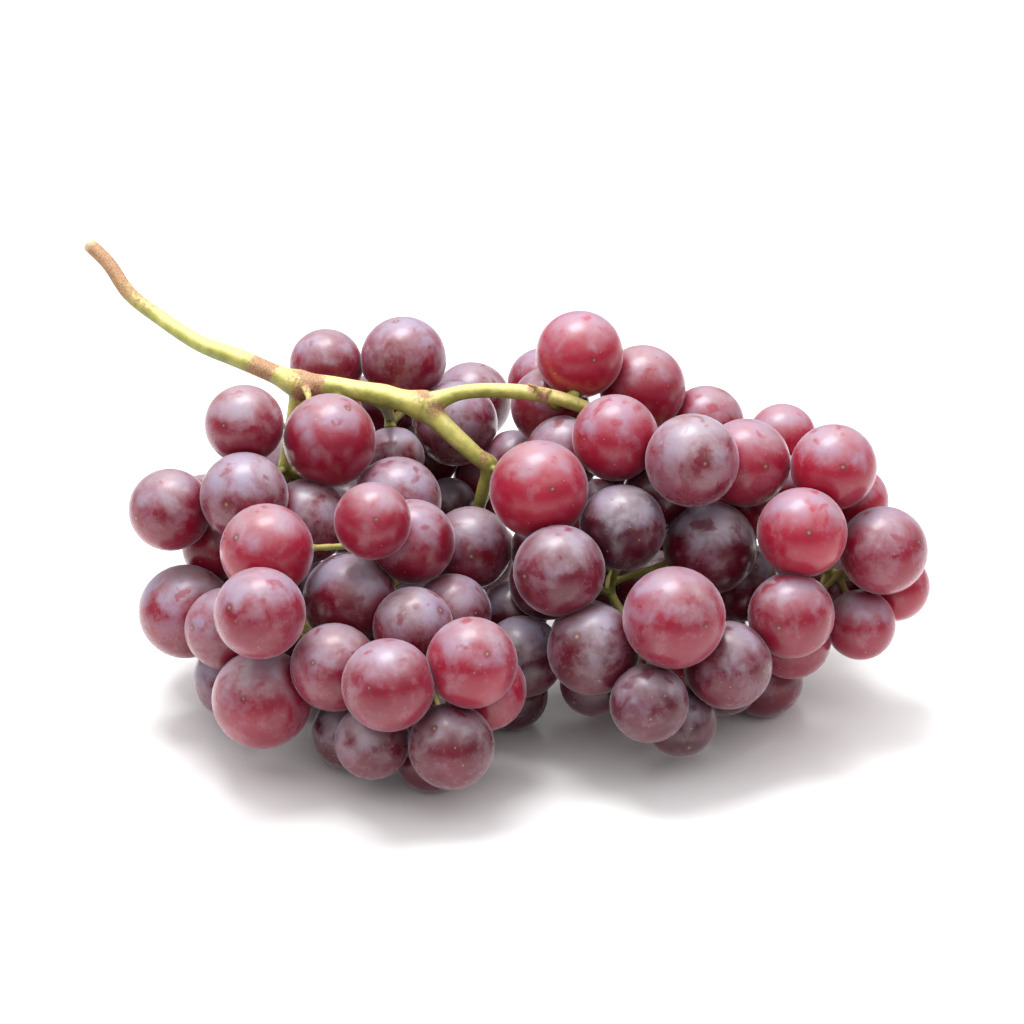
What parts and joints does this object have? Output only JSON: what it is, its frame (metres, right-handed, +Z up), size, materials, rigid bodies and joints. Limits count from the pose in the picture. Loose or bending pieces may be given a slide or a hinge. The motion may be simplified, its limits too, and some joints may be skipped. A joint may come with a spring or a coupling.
{
  "type": "bunch of grapes",
  "caption": "Bunch of round red table grapes lying on its side, with three lobes of berries on one branched green stem and a long bare stalk end.",
  "frame": {"origin": "on the table under the middle of the bunch's box", "axes": "+Z up from the table, +X along the bunch's length from the stalk's cut end to the tip, the eye of the picture looks along +Y"},
  "size_m": [0.192, 0.1234, 0.093],
  "materials": {
    "stem": "satin green stem, brown at its joints",
    "berries": "red skin with a pale waxy bloom"
  },
  "bodies": {
    "root": {"stalk": "stem", "branches": "stem", "berries_left": "berries", "berries_back": "berries", "berries_right": "berries"}
  },
  "joints": []
}
